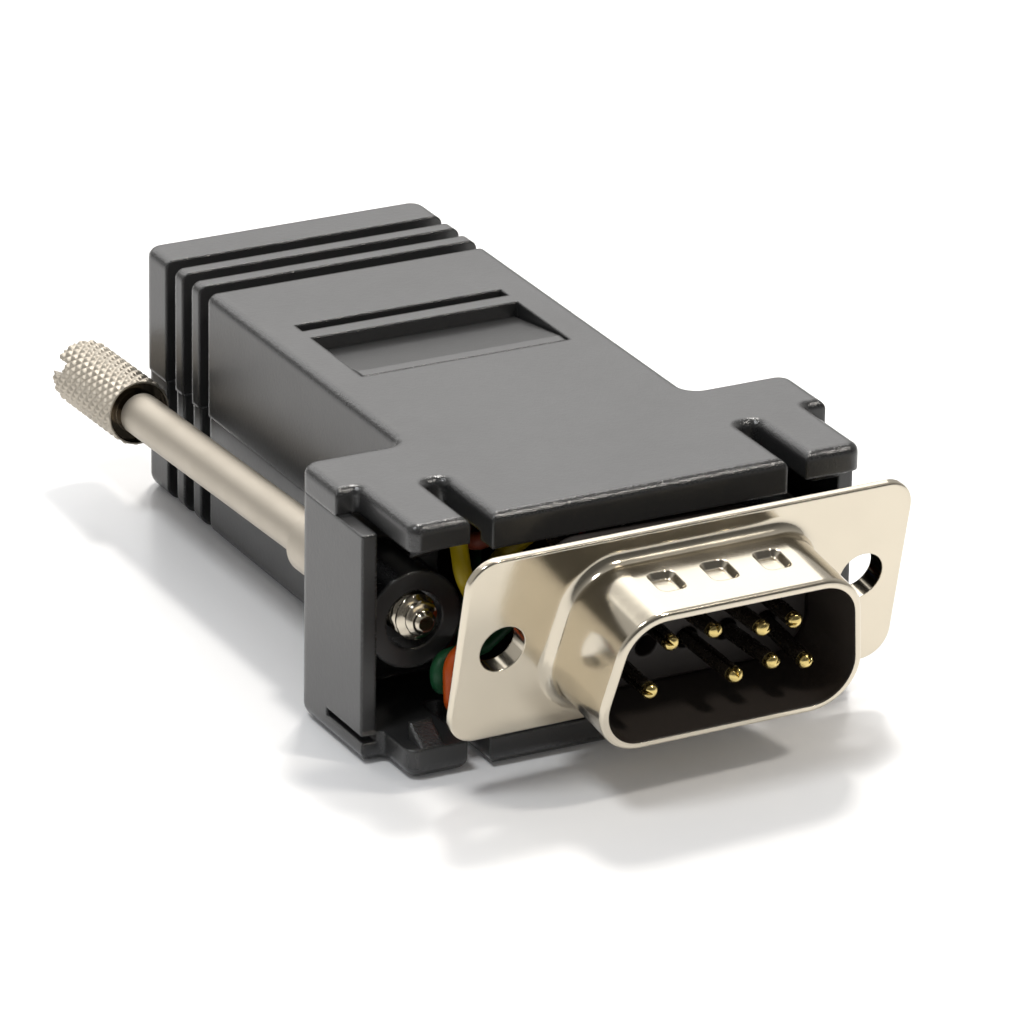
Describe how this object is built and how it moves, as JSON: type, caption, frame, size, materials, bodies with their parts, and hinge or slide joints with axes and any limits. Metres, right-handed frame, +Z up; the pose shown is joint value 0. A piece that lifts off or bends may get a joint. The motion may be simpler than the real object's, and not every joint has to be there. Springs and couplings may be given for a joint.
{
  "type": "serial adapter",
  "caption": "Black hooded adapter with a nickel D-shaped plug loose on coloured leads, thumbscrews along both sides and a modular jack in the far end.",
  "frame": {"origin": "on the hood's flat underside, below the middle of the hood", "axes": "-Y towards the plug, +Y along the hood to the jack, +X to the right seen from the plug, +Z up"},
  "size_m": [0.0332, 0.0631, 0.0164],
  "materials": {
    "upper_shell_plastic": "fine-textured black moulding",
    "lower_shell_plastic": "fine-textured black moulding",
    "screw_nickel": "bright nickel plating",
    "shell_nickel": "bright nickel plating on drawn steel",
    "rear_nickel": "bright nickel plating on drawn steel",
    "insulator_plastic": "black moulding",
    "jack_plastic": "smooth black moulding",
    "carrier_plastic": "black moulding",
    "contact_gold": "thin gold plating on a rolled pin",
    "spring_gold": "gold-plated wire",
    "yellow_insulation": "smooth wire insulation",
    "brown_insulation": "smooth wire insulation",
    "blue_insulation": "smooth wire insulation",
    "black_insulation": "smooth wire insulation",
    "orange_insulation": "smooth wire insulation",
    "green_insulation": "smooth wire insulation",
    "red_insulation": "smooth wire insulation",
    "white_insulation": "smooth wire insulation"
  },
  "bodies": {
    "adapter": {"upper_cover": "upper_shell_plastic", "lower_cover": "lower_shell_plastic", "front_shell": "shell_nickel", "rear_shell": "rear_nickel", "insulator": "insulator_plastic", "jack_housing": "jack_plastic", "jack_carrier": "carrier_plastic", "contact_1": "contact_gold", "contact_2": "contact_gold", "contact_3": "contact_gold", "contact_5": "contact_gold", "contact_6": "contact_gold", "contact_7": "contact_gold", "contact_8": "contact_gold", "contact_9": "contact_gold", "jack_spring_1": "spring_gold", "jack_spring_2": "spring_gold", "jack_spring_3": "spring_gold", "jack_spring_4": "spring_gold", "jack_spring_5": "spring_gold", "jack_spring_6": "spring_gold", "jack_spring_7": "spring_gold", "jack_spring_8": "spring_gold", "yellow_lead": "yellow_insulation", "brown_lead": "brown_insulation", "blue_lead": "blue_insulation", "black_lead": "black_insulation", "orange_lead": "orange_insulation", "green_lead": "green_insulation", "red_lead": "red_insulation", "white_lead": "white_insulation"},
    "left_thumbscrew": {"left_thumbscrew": "screw_nickel"},
    "right_thumbscrew": {"right_thumbscrew": "screw_nickel"}
  },
  "joints": [
    {"name": "left_thumbscrew_turn", "type": "hinge", "parent": "adapter", "child": "left_thumbscrew", "pos_m": [-0.01249, -0.01845, 0.00845], "axis": [0, 0.9995, -0.0332], "continuous": true},
    {"name": "right_thumbscrew_turn", "type": "hinge", "parent": "adapter", "child": "right_thumbscrew", "pos_m": [0.01249, -0.01845, 0.00845], "axis": [0, 0.9995, -0.0332], "continuous": true}
  ]
}
